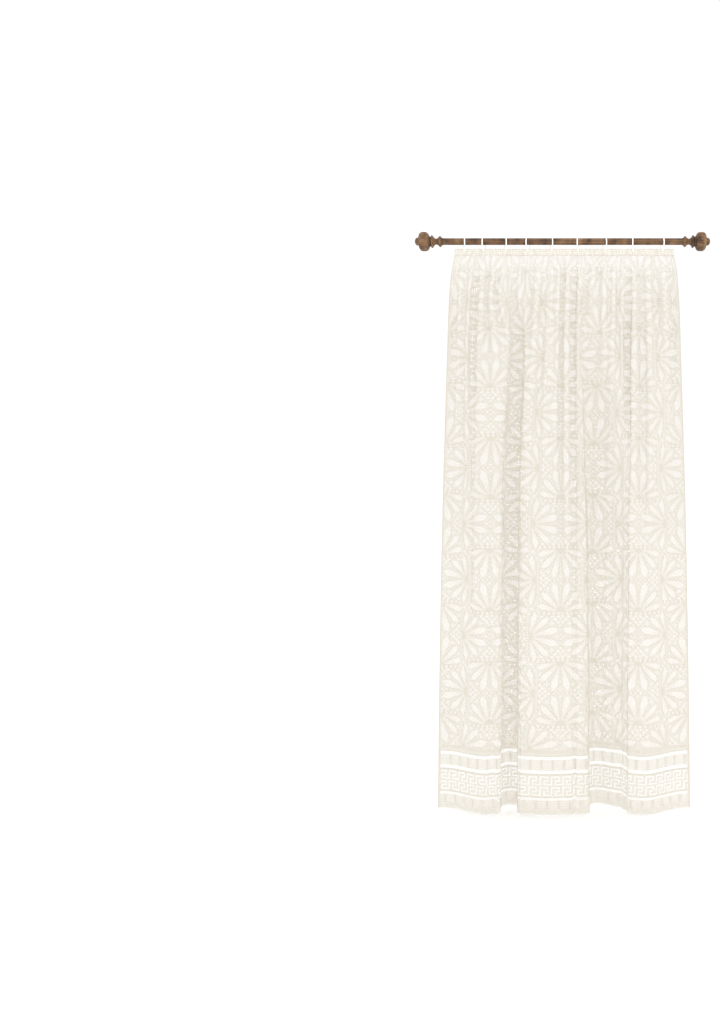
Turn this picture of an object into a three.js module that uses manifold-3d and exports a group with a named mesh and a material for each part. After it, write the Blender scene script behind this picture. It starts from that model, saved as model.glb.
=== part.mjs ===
// A curtain panel gathered into a straight heading band, which hangs by nine rings from a wooden rod with
// a turned finial at each end. Millimetres, +Z up. The origin is the middle of the rod's axis, the rod runs
// along X, and the front of the cloth faces -Y.
import * as THREE from "three";
import { mergeVertices } from "three/addons/utils/BufferGeometryUtils.js";
import Module from "manifold-3d";

const wasm = await Module();
wasm.setup();

// The rod
const POLE_RADIUS = 14;
const POLE_SHOWN = 517; // from the middle to where a finial starts
const ROD_SIDES = 24;
const FIT = 0.3; // the gap between pieces that touch

// The finial, measured outwards along the rod from its inner face
const SOCKET_DEPTH = 15;
const FINIAL = {
  rim: 15.5,
  bead: 23,
  neck: 12.3,
  collar: 27,
  lip: 24.5,
  groove: 19.3,
  ball: 39.5,
  knob: 15.8,
};
const FINIAL_AT = { bead: 10, neck: 27.5, collar: 44.5, lip: 48, groove: 51, ball: 79, end: 119 };
const BALL_HALF_LENGTH = 24;
const KNOB_ROUNDING = 10;
const BALL_STEPS = 8;
const KNOB_STEPS = 4;
const LOBES = 6;
const LOBE_DEPTH = 0.13; // how far a crease cuts into the ball, as a share of its radius
const LOBES_REACH = 0.9; // how far the lobes reach along the ball, as a share of its half length

// The rings
const RING_WIRE = 2.5; // radius of the wire
const RING_HOLE_DROP = 7; // from the top edge of the heading to the wire that passes through it
const RING_SIDES = 6;
const RING_STEPS = 20;

// Where each ring hangs along the rod, and how many degrees it is turned out of square to it
const RINGS = [
  { x: -424, turn: 11 },
  { x: -340, turn: -8 },
  { x: -245, turn: 9 },
  { x: -150, turn: -13 },
  { x: -47, turn: 10 },
  { x: 67, turn: -9 },
  { x: 182, turn: 14 },
  { x: 304, turn: -7 },
  { x: 429, turn: 12 },
];

// The cloth
const FLAT_WIDTH = 1460;
const FLAT_LENGTH = 2415;
const TOP_EDGE = -31; // height of the heading's top edge
const PANEL_THICKNESS = 1.5;
const HEADING_THICKNESS = 6.4; // the finely drawn-up cloth of the heading, front to back
const HEADING_DEPTH = 28;
const PANEL_STARTS = 12; // from the top edge of the heading to that of the panel inside it
const PANEL_ROWS = 22;
const ROW_CROWDING = 1.75; // rows crowd towards the heading, where the gathers are small
const STEP = 1; // along the cloth, where a section is worked out

// The gathers under the heading: where each front crest is along the flat width, and how far down the gather
// that follows it still shows
const GATHERS = [
  { crest: 0, reach: 900 },
  { crest: 63, reach: 1900 },
  { crest: 126, reach: 1200 },
  { crest: 193, reach: 700 },
  { crest: 266, reach: 600 },
  { crest: 335, reach: 420 },
  { crest: 388, reach: 450 },
  { crest: 446, reach: 420 },
  { crest: 492, reach: 800 },
  { crest: 569, reach: 1300 },
  { crest: 648, reach: 900 },
  { crest: 694, reach: 2000 },
  { crest: 758, reach: 2100 },
  { crest: 832, reach: 700 },
  { crest: 926, reach: 700 },
  { crest: 1000, reach: 1800 },
  { crest: 1060, reach: 1300 },
  { crest: 1115, reach: 1900 },
  { crest: 1187, reach: 1700 },
  { crest: 1283, reach: 1100 },
  { crest: 1378, reach: 900 },
  { crest: FLAT_WIDTH, reach: 0 },
];

// The main folds: where each starts, is deepest and ends along the flat width, at the heading and at the hem,
// how many degrees it turns going back and coming forward, the drops between which it grows, and the share of
// the gathers in it that it takes up. The two ends are half folds, and the crown is a gentle swell.
const FOLDS = {
  leftEnd: { top: [0, 0, 60], hem: [0, 0, 235], turn: [0, 33], grows: [100, 1600], takes: 0 },
  leftRecess: { top: [388, 417, 446], hem: [268, 418, 568], turn: [93, 93], grows: [40, 1000], takes: 1 },
  crown: { top: [492, 640, 832], hem: [568, 700, 832], turn: [-8, -8], grows: [100, 1600], takes: 0 },
  rightRecess: { top: [832, 879, 926], hem: [832, 985, 1235], turn: [97, 53], grows: [60, 1600], takes: 0.8 },
  rightEnd: { top: [1380, 1460, 1460], hem: [1235, 1460, 1460], turn: [34, 0], grows: [100, 1600], takes: 0 },
};
const FOLD_GROWTH = 2.2; // a fold opens fast under the heading and slowly towards the hem
const FOLD_DEEPENING = 1.6; // and it is whole in depth before it is whole in width
const FLANK_SKEW = 0.85; // a flank is steepest a little before its middle
const TAKE_EDGE = 25; // over which it takes the gathers up, inside and outside each of its two sides
const GATHERS_FADE_FROM = 60;
const STEEPEST_GATHER = 1.4; // radians
const GATHERS_OPEN = 90; // the gathers reach their full depth so far below the heading
const FOLD_SHARES = { least: 0.5, most: 1.3 }; // how far a section may slacken or tighten its main folds
const HALVINGS = 30;

// The outline spreads quickly just under the heading, and then slowly towards the hem
const LEFT = { top: -465, quick: -10, slow: -71.4 };
const RIGHT = { top: 481, quick: 8, slow: 70 };
const QUICK_DROP = 50;
const SLOW_DROP = 1000;
const GATHER_FORWARD = 13; // how far the crests of the open gathers stand forward of the heading's middle
const FOLD_FORWARD = 66; // and how much further the fronts of the folds would come in the end
const FORWARD_POWER = 1.5;

const COLOURS = { wood: 0x7c5f48, lace: 0xf2ece0, ring: 0xf6f4ee };

const ease = (t) => {
  const u = Math.min(1, Math.max(0, t));
  return u * u * (3 - 2 * u);
};
const mix = (a, b, t) => a + (b - a) * t;
const settle = (drop, over) => 1 - Math.exp(-drop / over);

const edgeAt = (side, drop) =>
  side.top + side.quick * settle(drop, QUICK_DROP) + side.slow * settle(drop, SLOW_DROP);
const forwardAt = (drop) => GATHER_FORWARD + FOLD_FORWARD * settle(drop, SLOW_DROP) ** FORWARD_POWER;

// How far the main folds turn the cloth at one place, in radians, and how much of the gathers they leave.
function mainFolds(along, drop) {
  let turn = 0;
  let left = 1;
  for (const fold of Object.values(FOLDS)) {
    const [starts, whole] = fold.grows;
    const progress = Math.min(1, Math.max(0, (drop - starts) / (whole - starts)));
    const grown = 1 - (1 - progress) ** FOLD_GROWTH;
    const depth = ease(grown * FOLD_DEEPENING);
    const [from, deepest, to] = fold.top.map((place, i) => mix(place, fold.hem[i], grown));
    const [back, forth] = fold.turn;
    if (along > from && along < deepest)
      turn -= back * depth * Math.sin(Math.PI * ((along - from) / (deepest - from)) ** FLANK_SKEW);
    if (along > deepest && along < to)
      turn += forth * depth * Math.sin(Math.PI * ((to - along) / (to - deepest)) ** FLANK_SKEW);
    const inside = ease((along - from + TAKE_EDGE) / (2 * TAKE_EDGE)) *
      ease((to + TAKE_EDGE - along) / (2 * TAKE_EDGE));
    left = Math.min(left, 1 - inside * depth * fold.takes);
  }
  return { turn: THREE.MathUtils.degToRad(turn), left };
}

// The gathers turn the cloth back and then forward between two crests. This is 1 at their steepest.
function gathers(along, drop) {
  const i = GATHERS.findIndex((gather, k) => k + 1 < GATHERS.length && along < GATHERS[k + 1].crest);
  if (i < 0) return 0;
  const { crest, reach } = GATHERS[i];
  const share = (along - crest) / (GATHERS[i + 1].crest - crest);
  return -Math.sin(2 * Math.PI * share) * (1 - ease((drop - GATHERS_FADE_FROM) / reach));
}

// The value between two others at which a test stops being true.
function halve(low, high, tooLow) {
  for (let i = 0; i < HALVINGS; i++) {
    const middle = (low + high) / 2;
    if (tooLow(middle)) low = middle;
    else high = middle;
  }
  return (low + high) / 2;
}

// The line that the cloth follows across its width at one drop below the heading. Along it the cloth keeps
// its flat width, and the gathers take up what the main folds leave between the two side edges.
function sectionAt(drop) {
  const steps = FLAT_WIDTH / STEP;
  const folds = [];
  for (let i = 0; i < steps; i++) {
    const along = (i + 0.5) * STEP;
    const { turn, left } = mainFolds(along, drop);
    folds.push({ turn, gather: gathers(along, drop) * left });
  }
  const wanted = edgeAt(RIGHT, drop) - edgeAt(LEFT, drop);
  const width = (foldShare, steepest) =>
    folds.reduce((sum, { turn, gather }) => sum + Math.cos(foldShare * turn + steepest * gather) * STEP, 0);
  let foldShare = 1;
  let steepest = 0;
  if (width(1, 0) < wanted) foldShare = halve(FOLD_SHARES.least, 1, (share) => width(share, 0) > wanted);
  else if (width(1, STEEPEST_GATHER) < wanted)
    steepest = halve(0, STEEPEST_GATHER, (angle) => width(1, angle) > wanted);
  else {
    steepest = STEEPEST_GATHER;
    foldShare = halve(1, FOLD_SHARES.most, (share) => width(share, steepest) > wanted);
  }
  const points = [{ x: edgeAt(LEFT, drop), forward: 0 }];
  for (const { turn, gather } of folds) {
    const angle = foldShare * turn + steepest * gather;
    const { x, forward } = points[points.length - 1];
    points.push({ x: x + Math.cos(angle) * STEP, forward: forward + Math.sin(angle) * STEP });
  }
  const rise = points[steps].forward / steps; // both side edges stand equally far forward
  points.forEach((point, i) => (point.forward -= rise * i));
  const front = Math.max(...points.map(({ forward }) => forward));
  const open = ease(drop / GATHERS_OPEN);
  points.forEach((point) => (point.forward = open * (point.forward + forwardAt(drop) - front)));
  points.forEach((point, i) => {
    const before = points[Math.max(0, i - 1)];
    const after = points[Math.min(steps, i + 1)];
    point.angle = Math.atan2(after.forward - before.forward, after.x - before.x);
  });
  return (along) => points[Math.round(along / STEP)];
}

// A point of the cloth, so far in front of its middle surface, at the height of its drop.
const clothPoint = ({ x, forward, angle }, inFront, drop) =>
  new THREE.Vector3(x - Math.sin(angle) * inFront, -(forward + Math.cos(angle) * inFront), TOP_EDGE - drop);

// Where the columns of the mesh are: each gather's crest, deepest place and both flanks.
const COLUMNS = GATHERS.slice(0, -1).flatMap(({ crest }, i) =>
  [0, 0.25, 0.5, 0.75].map((share) => Math.round(mix(crest, GATHERS[i + 1].crest, share))),
);
COLUMNS.push(FLAT_WIDTH);

// A closed sheet from its columns, each a list of rows with a point on the front and one on the back.
function sheetGeometry(columns) {
  const points = columns.flatMap((rows) => rows.flatMap(({ front, back }) => [front, back]));
  const rowCount = columns[0].length;
  const frontAt = (column, row) => 2 * (column * rowCount + row);
  const backAt = (column, row) => frontAt(column, row) + 1;
  const index = [];
  const face = (a, b, c, d) => index.push(a, b, c, a, c, d);
  const lastColumn = columns.length - 1;
  const lastRow = rowCount - 1;
  for (let i = 0; i < lastColumn; i++)
    for (let k = 0; k < lastRow; k++) {
      face(frontAt(i, k), frontAt(i, k + 1), frontAt(i + 1, k + 1), frontAt(i + 1, k));
      // The back is split along the same diagonal as the front.
      face(backAt(i, k), backAt(i + 1, k), backAt(i + 1, k + 1), backAt(i, k + 1));
    }
  for (let i = 0; i < lastColumn; i++) {
    face(frontAt(i, 0), frontAt(i + 1, 0), backAt(i + 1, 0), backAt(i, 0));
    face(frontAt(i, lastRow), backAt(i, lastRow), backAt(i + 1, lastRow), frontAt(i + 1, lastRow));
  }
  for (let k = 0; k < lastRow; k++) {
    face(frontAt(0, k), backAt(0, k), backAt(0, k + 1), frontAt(0, k + 1));
    face(frontAt(lastColumn, k), frontAt(lastColumn, k + 1), backAt(lastColumn, k + 1), backAt(lastColumn, k));
  }
  const geometry = new THREE.BufferGeometry().setFromPoints(points);
  return geometry.setIndex(index);
}

function panelGeometry() {
  const rows = [PANEL_STARTS];
  for (let i = 0; i + 1 < PANEL_ROWS; i++)
    rows.push(mix(HEADING_DEPTH, FLAT_LENGTH, (i / (PANEL_ROWS - 2)) ** ROW_CROWDING));
  // Inside the heading the cloth is straight from end to end.
  const sections = rows.map((drop) => sectionAt(Math.max(0, drop - HEADING_DEPTH)));
  const half = PANEL_THICKNESS / 2;
  const columns = COLUMNS.map((along) =>
    rows.map((drop, i) => {
      const place = sections[i](along);
      return { front: clothPoint(place, half, drop), back: clothPoint(place, -half, drop) };
    }),
  );
  return sheetGeometry(columns);
}

// The heading is a strip folded over the top of the panel: solid above it, and a leaf on each side of it.
function headingGeometry() {
  const outer = HEADING_THICKNESS / 2;
  const slot = PANEL_THICKNESS / 2 + FIT;
  const outline = new THREE.Shape();
  outline.moveTo(outer, 0);
  outline.lineTo(outer, HEADING_DEPTH);
  outline.lineTo(slot, HEADING_DEPTH);
  outline.lineTo(slot, PANEL_STARTS - FIT);
  outline.lineTo(-slot, PANEL_STARTS - FIT);
  outline.lineTo(-slot, HEADING_DEPTH);
  outline.lineTo(-outer, HEADING_DEPTH);
  outline.lineTo(-outer, 0);
  const geometry = new THREE.ExtrudeGeometry(outline, { depth: RIGHT.top - LEFT.top, bevelEnabled: false });
  // The outline's across and down become -Y and -Z, and its depth runs along X from the left end.
  const across = new THREE.Vector3(0, -1, 0);
  const down = new THREE.Vector3(0, 0, -1);
  const along = new THREE.Vector3(1, 0, 0);
  geometry.applyMatrix4(new THREE.Matrix4().makeBasis(across, down, along));
  return geometry.translate(LEFT.top, 0, TOP_EDGE);
}

// A closed mesh as a solid in the part's frame, and back again.
function solidOf(mesh) {
  mesh.updateMatrixWorld(true);
  const world = mesh.geometry.clone().applyMatrix4(mesh.matrixWorld);
  world.deleteAttribute("normal");
  world.deleteAttribute("uv");
  const merged = mergeVertices(world);
  const vertProperties = new Float32Array(merged.attributes.position.array);
  const triVerts = new Uint32Array(merged.index.array);
  return new wasm.Manifold(new wasm.Mesh({ numProp: 3, vertProperties, triVerts }));
}

function geometryOf(solid) {
  const { vertProperties, triVerts } = solid.getMesh();
  const geometry = new THREE.BufferGeometry();
  geometry.setAttribute("position", new THREE.BufferAttribute(vertProperties, 3));
  return geometry.setIndex(new THREE.BufferAttribute(triVerts, 1));
}

function named(name, geometry, material) {
  geometry.computeVertexNormals();
  const mesh = new THREE.Mesh(geometry, material);
  mesh.name = name;
  return mesh;
}

const wood = new THREE.MeshStandardMaterial({ color: COLOURS.wood, roughness: 0.55, metalness: 0 });
const lace = new THREE.MeshStandardMaterial({ color: COLOURS.lace, roughness: 0.95, metalness: 0 });
const white = new THREE.MeshStandardMaterial({ color: COLOURS.ring, roughness: 0.4, metalness: 0 });

// The pole, whose ends stand in the finials' sockets.
function pole() {
  const length = 2 * (POLE_SHOWN + SOCKET_DEPTH - FIT);
  const mesh = named("pole", new THREE.CylinderGeometry(POLE_RADIUS, POLE_RADIUS, length, ROD_SIDES), wood);
  mesh.rotation.z = -Math.PI / 2;
  return mesh;
}

// The finial's turned outline, from the floor of its socket out round the rim and along to its end, as pairs
// of a radius and a distance from the inner face.
function finialProfile() {
  const socket = POLE_RADIUS + FIT;
  const points = [
    [0, SOCKET_DEPTH],
    [socket, SOCKET_DEPTH],
    [socket, 0],
    [FINIAL.rim, 0],
    [FINIAL.rim, 2],
    [FINIAL.bead - 2, FINIAL_AT.bead - 3],
    [FINIAL.bead, FINIAL_AT.bead],
    [FINIAL.bead - 3, FINIAL_AT.bead + 5],
    [FINIAL.neck + 2, FINIAL_AT.neck - 7],
    [FINIAL.neck, FINIAL_AT.neck],
    [FINIAL.neck + 3, FINIAL_AT.neck + 7],
    [FINIAL.collar - 2, FINIAL_AT.collar - 2.5],
    [FINIAL.collar, FINIAL_AT.collar],
    [FINIAL.lip, FINIAL_AT.lip],
    [FINIAL.groove, FINIAL_AT.groove],
  ];
  const from = Math.PI - Math.asin(FINIAL.groove / FINIAL.ball);
  const to = Math.asin(FINIAL.knob / FINIAL.ball);
  for (let i = 0; i <= BALL_STEPS; i++) {
    const angle = mix(from, to, i / BALL_STEPS);
    points.push([FINIAL.ball * Math.sin(angle), FINIAL_AT.ball + BALL_HALF_LENGTH * Math.cos(angle)]);
  }
  for (let i = 0; i < KNOB_STEPS; i++) {
    const angle = (i / KNOB_STEPS) * (Math.PI / 2);
    points.push([FINIAL.knob * Math.cos(angle), FINIAL_AT.end - KNOB_ROUNDING * (1 - Math.sin(angle))]);
  }
  points.push([0, FINIAL_AT.end]);
  return points.map(([radius, along]) => new THREE.Vector2(radius, along));
}

// The ball is cut into lobes: its radius dips to a crease between each two.
function cutLobes(geometry) {
  const position = geometry.attributes.position;
  for (let i = 0; i < position.count; i++) {
    const across = (position.getY(i) - FINIAL_AT.ball) / BALL_HALF_LENGTH;
    if (Math.abs(across) >= LOBES_REACH) continue;
    const angle = Math.atan2(position.getX(i), position.getZ(i));
    const crease = 1 - Math.abs(Math.sin((LOBES / 2) * angle));
    const scale = 1 - LOBE_DEPTH * crease ** 2 * (1 - across ** 2);
    position.setX(i, position.getX(i) * scale);
    position.setZ(i, position.getZ(i) * scale);
  }
  return geometry;
}

function finial(side, name) {
  const mesh = named(name, cutLobes(new THREE.LatheGeometry(finialProfile(), ROD_SIDES)), wood);
  mesh.rotation.z = (-side * Math.PI) / 2;
  mesh.position.x = side * POLE_SHOWN;
  return mesh;
}

// Each ring hangs on the top of the pole, and its lowest point passes through the heading at a crest.
const RING_TOP = POLE_RADIUS + FIT + RING_WIRE;
const RING_BOTTOM = TOP_EDGE - RING_HOLE_DROP;
const RING_RADIUS = (RING_TOP - RING_BOTTOM) / 2;

function ring(x, turn, wire, name) {
  const mesh = named(name, new THREE.TorusGeometry(RING_RADIUS, wire, RING_SIDES, RING_STEPS), white);
  mesh.rotation.set(0, Math.PI / 2, THREE.MathUtils.degToRad(turn), "ZYX");
  mesh.position.set(x, 0, (RING_TOP + RING_BOTTOM) / 2);
  return mesh;
}

const rod = new THREE.Group();
rod.add(pole(), finial(-1, "finial_left"), finial(1, "finial_right"));

const rings = new THREE.Group();
RINGS.forEach(({ x, turn }, i) => rings.add(ring(x, turn, RING_WIRE, `ring_${i + 1}`)));

// The heading has a hole round the wire of each ring.
let heading = solidOf(named("heading", headingGeometry(), lace));
for (const { x, turn } of RINGS) heading = heading.subtract(solidOf(ring(x, turn, RING_WIRE + FIT, "hole")));

const cloth = new THREE.Group();
cloth.add(named("heading_band", geometryOf(heading), lace), named("curtain_panel", panelGeometry(), lace));

const curtain = new THREE.Group();
curtain.add(rod, rings, cloth);

export default curtain;
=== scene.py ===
"""The looks of a curtain panel gathered into a heading band, which hangs by nine rings from a wooden rod
with a turned finial at each end. Metres, +Z up. The origin is the middle of the rod's axis, the rod runs
along X, and the front of the cloth faces -Y. The folds and sizes repeat those of the CAD part."""
from math import asin, atan2, cos, pi, radians, sin

import bmesh
import bpy
import numpy as np
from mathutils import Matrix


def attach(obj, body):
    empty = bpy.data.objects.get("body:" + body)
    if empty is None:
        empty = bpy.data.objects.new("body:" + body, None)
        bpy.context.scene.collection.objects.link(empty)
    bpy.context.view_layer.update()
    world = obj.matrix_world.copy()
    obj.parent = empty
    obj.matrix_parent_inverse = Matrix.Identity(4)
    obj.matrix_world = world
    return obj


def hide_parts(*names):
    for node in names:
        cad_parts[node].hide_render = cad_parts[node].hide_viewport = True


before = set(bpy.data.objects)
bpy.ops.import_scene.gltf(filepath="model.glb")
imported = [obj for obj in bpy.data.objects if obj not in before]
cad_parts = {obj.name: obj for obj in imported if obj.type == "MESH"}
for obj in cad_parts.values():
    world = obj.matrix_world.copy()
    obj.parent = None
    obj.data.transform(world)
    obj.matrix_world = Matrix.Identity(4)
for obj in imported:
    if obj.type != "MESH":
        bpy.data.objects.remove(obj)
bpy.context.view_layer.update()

MM = 0.001

# The rod
POLE_RADIUS = 14 * MM
POLE_SHOWN = 517 * MM  # from the middle to where a finial starts
FIT = 0.3 * MM
SOCKET_DEPTH = 15 * MM
POLE_SIDES = 72
POLE_RINGS = 160
POLE_UNEVENNESS = 0.12 * MM

# The finial in millimetres: radii, and distances outwards from its inner face
FINIAL = {
    "rim": 15.5, "bead": 23, "neck": 12.3, "collar": 27,
    "lip": 24.5, "groove": 19.3, "ball": 39.5, "knob": 15.8,
}  # fmt: skip
FINIAL_AT = {"bead": 10, "neck": 27.5, "collar": 44.5, "lip": 48, "groove": 51, "ball": 79, "end": 119}
BALL_HALF_LENGTH = 24
KNOB_ROUNDING = 10
FINIAL_SIDES = 120
BALL_STEPS = 36
BALL_POWER = 3.1  # 2 is an ellipse, and more is fuller at its shoulders
KNOB_STEPS = 10
LOBES = 6
LOBE_DEPTH = 0.13
LOBES_REACH = 0.9

# The rings, each with its place along the rod and how many degrees it is turned out of square to it
RINGS = [
    (-424, 11), (-340, -8), (-245, 9), (-150, -13), (-47, 10),
    (67, -9), (182, 14), (304, -7), (429, 12),
]  # fmt: skip
RING_WIRE = 2.5 * MM
RING_TOP = 16.8 * MM
RING_BOTTOM = -38 * MM
RING_STEPS = 64
RING_SIDES = 16

# The cloth, in millimetres of its flat width and of the drop from its top edge
FLAT_WIDTH = 1460
FLAT_LENGTH = 2415
TOP_EDGE = -31
HEADING_DEPTH = 28
STEP = 1
PANEL_TOP = 20
COLUMNS = 584
ROWS = 168
ROW_CROWDING = 1.7

# The gathers under the heading: where each front crest is, and how far down the gather after it still shows
GATHERS = [
    (0, 900), (63, 1900), (126, 1200), (193, 700), (266, 600), (335, 420), (388, 450), (446, 420),
    (492, 800), (569, 1300), (648, 900), (694, 2000), (758, 2100), (832, 700), (926, 700), (1000, 1800),
    (1060, 1300), (1115, 1900), (1187, 1700), (1283, 1100), (1378, 900), (FLAT_WIDTH, 0),
]  # fmt: skip

# The main folds: where each starts, is deepest and ends at the heading and at the hem, how many degrees
# it turns going back and coming forward, the drops between which it grows, and the share of the gathers
# it takes
FOLDS = [
    {"top": (0, 0, 60), "hem": (0, 0, 235), "turn": (0, 33), "grows": (100, 1600), "takes": 0},
    {"top": (388, 417, 446), "hem": (268, 418, 568), "turn": (93, 93), "grows": (40, 1000), "takes": 1},
    {"top": (492, 640, 832), "hem": (568, 700, 832), "turn": (-8, -8), "grows": (100, 1600), "takes": 0},
    {"top": (832, 879, 926), "hem": (832, 985, 1235), "turn": (97, 53), "grows": (60, 1600), "takes": 0.8},
    {"top": (1380, 1460, 1460), "hem": (1235, 1460, 1460), "turn": (34, 0), "grows": (100, 1600), "takes": 0},
]
FOLD_GROWTH = 2.2
FOLD_DEEPENING = 1.6
FLANK_SKEW = 0.85
TAKE_EDGE = 25
GATHERS_FADE_FROM = 60
STEEPEST_GATHER = 1.4
GATHERS_OPEN = 90
LEAST_FOLD_SHARE = 0.5
MOST_FOLD_SHARE = 1.3
HALVINGS = 30
LEFT = {"top": -465, "quick": -10, "slow": -71.4}
RIGHT = {"top": 481, "quick": 8, "slow": 70}
QUICK_DROP = 50
SLOW_DROP = 1000
PATHS = [63, 126, 193, 492, 569, 648, 694, 758, 832, 1000, 1060, 1115, 1187, 1283, 1378]
PATH_QUICK = 300
PATH_PINNED = 25
GATHER_FORWARD = 13
FOLD_FORWARD = 66
FORWARD_POWER = 1.5

# Colours are in linear light
LACE_DENSE = (0.660, 0.602, 0.488)
LACE_OPEN = (0.855, 0.822, 0.750)
THREAD_WHITE = (0.93, 0.90, 0.84)
WOOD_DARK = (0.062, 0.034, 0.019)
WOOD_MIDDLE = (0.170, 0.088, 0.041)
WOOD_LIGHT = (0.310, 0.176, 0.086)
# The darkest wood: painted shade in the finial's groove and neck, and the seam where the rod enters it
WOOD_SHADE_AND_SEAM = (0.022, 0.014, 0.009)
RING_WHITE = (0.95, 0.945, 0.93)
RING_YELLOWED = (0.90, 0.885, 0.84)
# Painted light: the rings glow a little, though they are no lamp
RING_PAINTED_GLOW = 0.28
FLOOR_COLOURS = ((0.86, 0.86, 0.86), (0.88, 0.88, 0.88))
FLOOR_GLOW = 0.19
WHITE = (1, 1, 1, 1)


def ease(t):
    u = np.clip(t, 0, 1)
    return u * u * (3 - 2 * u)


def mix(a, b, t):
    return a + (b - a) * t


def settle(drop, over):
    return 1 - np.exp(-drop / over)


def edge_at(side, drop):
    return side["top"] + side["quick"] * settle(drop, QUICK_DROP) + side["slow"] * settle(drop, SLOW_DROP)


def main_folds(along, drop):
    """How far the main folds turn the cloth, in radians, and how much of the gathers they leave."""
    turn = np.zeros_like(along)
    left = np.ones_like(along)
    for fold in FOLDS:
        starts, whole = fold["grows"]
        progress = np.clip((drop - starts) / (whole - starts), 0, 1)
        grown = 1 - (1 - progress) ** FOLD_GROWTH
        depth = ease(grown * FOLD_DEEPENING)
        start, deepest, end = (mix(a, b, grown) for a, b in zip(fold["top"], fold["hem"]))
        back, forth = fold["turn"]
        if deepest > start:
            share = np.clip((along - start) / (deepest - start), 0, 1)
            turn -= back * depth * np.sin(pi * share**FLANK_SKEW)
        if end > deepest:
            share = np.clip((end - along) / (end - deepest), 0, 1)
            turn += forth * depth * np.sin(pi * share**FLANK_SKEW)
        after_start = ease((along - start + TAKE_EDGE) / (2 * TAKE_EDGE))
        before_end = ease((end + TAKE_EDGE - along) / (2 * TAKE_EDGE))
        inside = after_start * before_end
        left = np.minimum(left, 1 - inside * depth * fold["takes"])
    return np.radians(turn), left


def gathers(along, drop):
    """The gathers turn the cloth back and then forward between two crests. This is 1 at their steepest."""
    turn = np.zeros_like(along)
    for (crest, reach), (following, _) in zip(GATHERS, GATHERS[1:]):
        here = (along >= crest) & (along < following)
        share = (along[here] - crest) / (following - crest)
        turn[here] = -np.sin(2 * pi * share) * (1 - ease((drop - GATHERS_FADE_FROM) / reach))
    return turn


def halve(low, high, too_low):
    """The value between two others at which a test stops being true."""
    for _ in range(HALVINGS):
        middle = (low + high) / 2
        if too_low(middle):
            low = middle
        else:
            high = middle
    return (low + high) / 2


def section_at(drop):
    """The line that the cloth follows across its width: x and how far forward it is, at each step."""
    steps = FLAT_WIDTH // STEP
    along = (np.arange(steps) + 0.5) * STEP
    turn, left = main_folds(along, drop)
    gather = gathers(along, drop) * left
    wanted = edge_at(RIGHT, drop) - edge_at(LEFT, drop)

    def width(share, steepest):
        return (np.cos(share * turn + steepest * gather) * STEP).sum()

    share = 1
    steepest = 0
    if width(1, 0) < wanted:
        share = halve(LEAST_FOLD_SHARE, 1, lambda s: width(s, 0) > wanted)
    elif width(1, STEEPEST_GATHER) < wanted:
        steepest = halve(0, STEEPEST_GATHER, lambda angle: width(1, angle) > wanted)
    else:
        steepest = STEEPEST_GATHER
        share = halve(1, MOST_FOLD_SHARE, lambda s: width(s, steepest) > wanted)
    angle = share * turn + steepest * gather
    x = edge_at(LEFT, drop) + np.concatenate([[0], np.cumsum(np.cos(angle) * STEP)])
    forward = np.concatenate([[0], np.cumsum(np.sin(angle) * STEP)])
    forward -= forward[-1] * np.linspace(0, 1, steps + 1)
    front = GATHER_FORWARD + FOLD_FORWARD * settle(drop, SLOW_DROP) ** FORWARD_POWER
    forward = ease(drop / GATHERS_OPEN) * (forward + front - forward.max())
    return x, forward


def smooth_paths(x, drops):
    """Moves each section sideways a little, so that the crests hang in smooth lines down the cloth. x has
    a row for each drop. Where the cloth doubles back, both layers move alike."""
    basis = np.stack([np.ones_like(drops), settle(drops, PATH_QUICK), settle(drops, SLOW_DROP)], 1)
    weights = np.where(drops < PATH_PINNED, 12.0, 1.0)[:, None]
    raw = x[:, PATHS]
    fitted = basis @ np.linalg.lstsq(basis * weights, raw * weights, rcond=None)[0]
    moved = np.empty_like(x)
    for row in range(len(drops)):
        order = np.argsort(raw[row])
        places = np.concatenate([[x[row, 0]], raw[row][order], [x[row, -1]]])
        shifts = np.concatenate([[0], (fitted[row] - raw[row])[order], [0]])
        moved[row] = x[row] + np.interp(x[row], places, shifts)
    return moved


def mesh_object(name, points, faces, material, smooth=True):
    """A mesh object in the scene, of one material, with smooth shading unless told otherwise."""
    mesh = bpy.data.meshes.new(name)
    mesh.from_pydata([tuple(p) for p in points], [], [tuple(f) for f in faces])
    mesh.validate()
    mesh.polygons.foreach_set("use_smooth", [smooth] * len(mesh.polygons))
    mesh.materials.append(material)
    piece = bpy.data.objects.new(name, mesh)
    bpy.context.scene.collection.objects.link(piece)
    return piece


def grid_faces(columns, rows, closed=False):
    """The faces of a grid of points, column by column. A closed grid joins its last column to its first."""
    faces = []
    for i in range(columns if closed else columns - 1):
        a = i * rows
        b = (i + 1) % columns * rows
        for k in range(rows - 1):
            faces.append((a + k, a + k + 1, b + k + 1, b + k))
    return faces


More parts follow.
